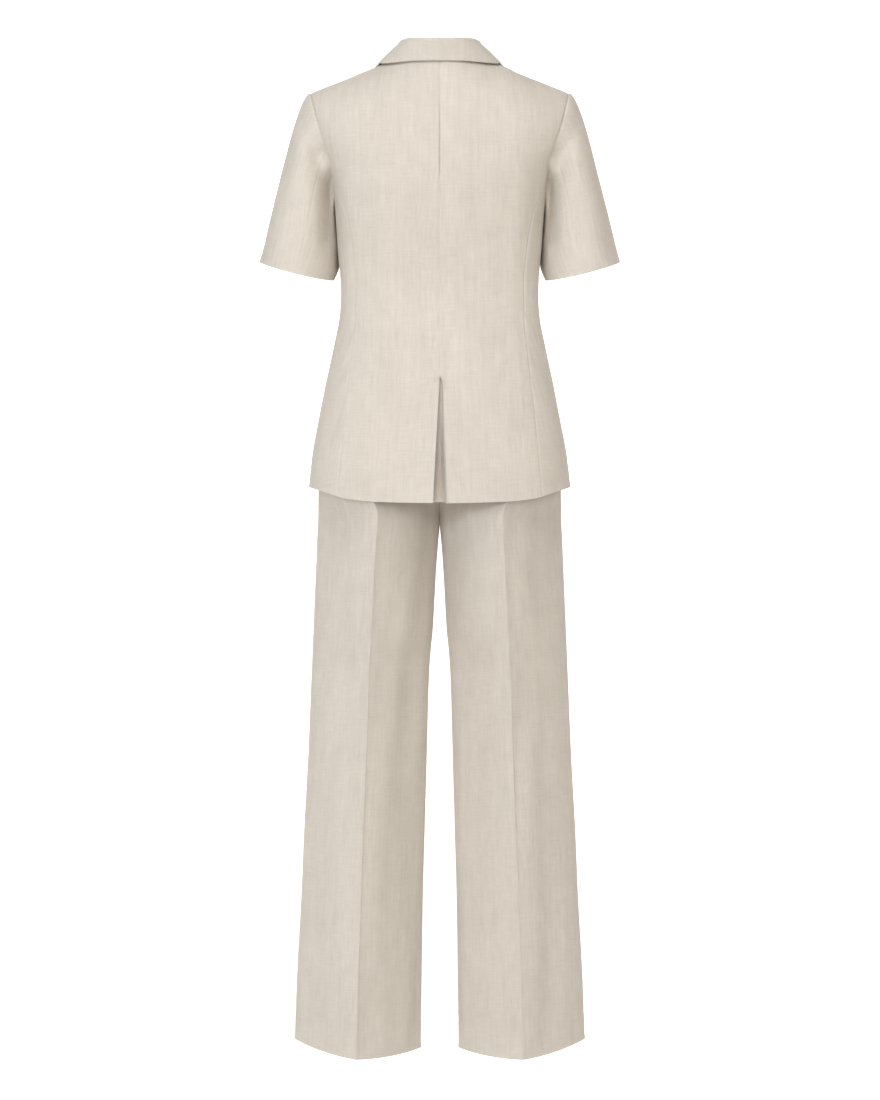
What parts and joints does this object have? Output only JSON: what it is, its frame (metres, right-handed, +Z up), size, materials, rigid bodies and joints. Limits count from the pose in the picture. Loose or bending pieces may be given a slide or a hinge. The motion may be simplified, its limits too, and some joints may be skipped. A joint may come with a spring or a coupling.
{
  "type": "suit",
  "caption": "Women's suit in its worn hollow shape: short-sleeved notch-collar blazer with a back vent over wide-leg creased trousers, in oatmeal linen.",
  "frame": {"origin": "between the shoulders at the height of the side neck points, where the wearer holds the suit up", "axes": "+Z up, the wearer's front faces -Y, the wearer's left is +X"},
  "size_m": [0.53, 0.2595, 1.4853],
  "materials": {
    "linen": "matt plain-weave linen, light oatmeal",
    "horn": "satin horn-look button"
  },
  "bodies": {
    "root": {"blazer_back_left": "linen", "blazer_back_right": "linen", "blazer_side_left": "linen", "blazer_side_right": "linen", "blazer_front_left": "linen", "blazer_front_right": "linen", "lapel_left": "linen", "lapel_right": "linen", "collar": "linen", "vent_underlap": "linen", "sleeve_top_left": "linen", "sleeve_top_right": "linen", "sleeve_under_left": "linen", "sleeve_under_right": "linen", "front_button": "horn", "trouser_back_left": "linen", "trouser_back_right": "linen", "trouser_front_left": "linen", "trouser_front_right": "linen", "waistband": "linen", "waist_button": "horn"}
  },
  "joints": []
}
